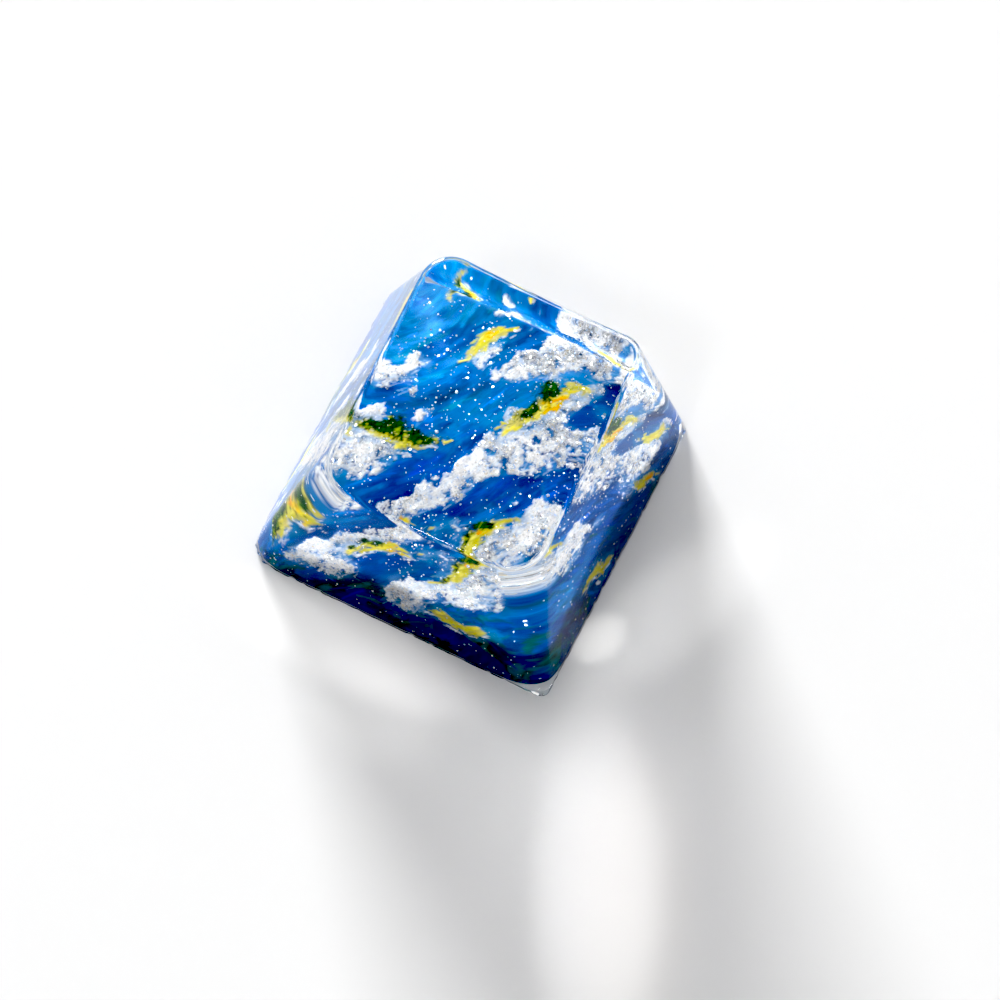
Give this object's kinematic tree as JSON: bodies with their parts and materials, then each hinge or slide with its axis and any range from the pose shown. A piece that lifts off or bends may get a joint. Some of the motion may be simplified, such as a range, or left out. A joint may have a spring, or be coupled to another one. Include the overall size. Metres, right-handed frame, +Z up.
{
  "type": "artisan keycap",
  "caption": "Clear cast resin keycap with a shallow finger dish, poured over a hand-painted inner core whose hollow underside holds a round stem with a cross socket.",
  "frame": {"origin": "middle of the base rim, on the plane that the cap rests on", "axes": "+Z up out of the finger dish, +Y towards the back of the keyboard (the high edge of the dish), +X to the right"},
  "size_m": [0.0182, 0.0182, 0.011],
  "materials": {
    "clear_resin": "clear, high gloss, a few fine bubbles and silver flakes",
    "painted_resin": "thick brushed paint in blues with white, yellow and dark green, over a cast core"
  },
  "bodies": {
    "root": {"clear_cap": "clear_resin", "painted_core": "painted_resin"}
  },
  "joints": []
}
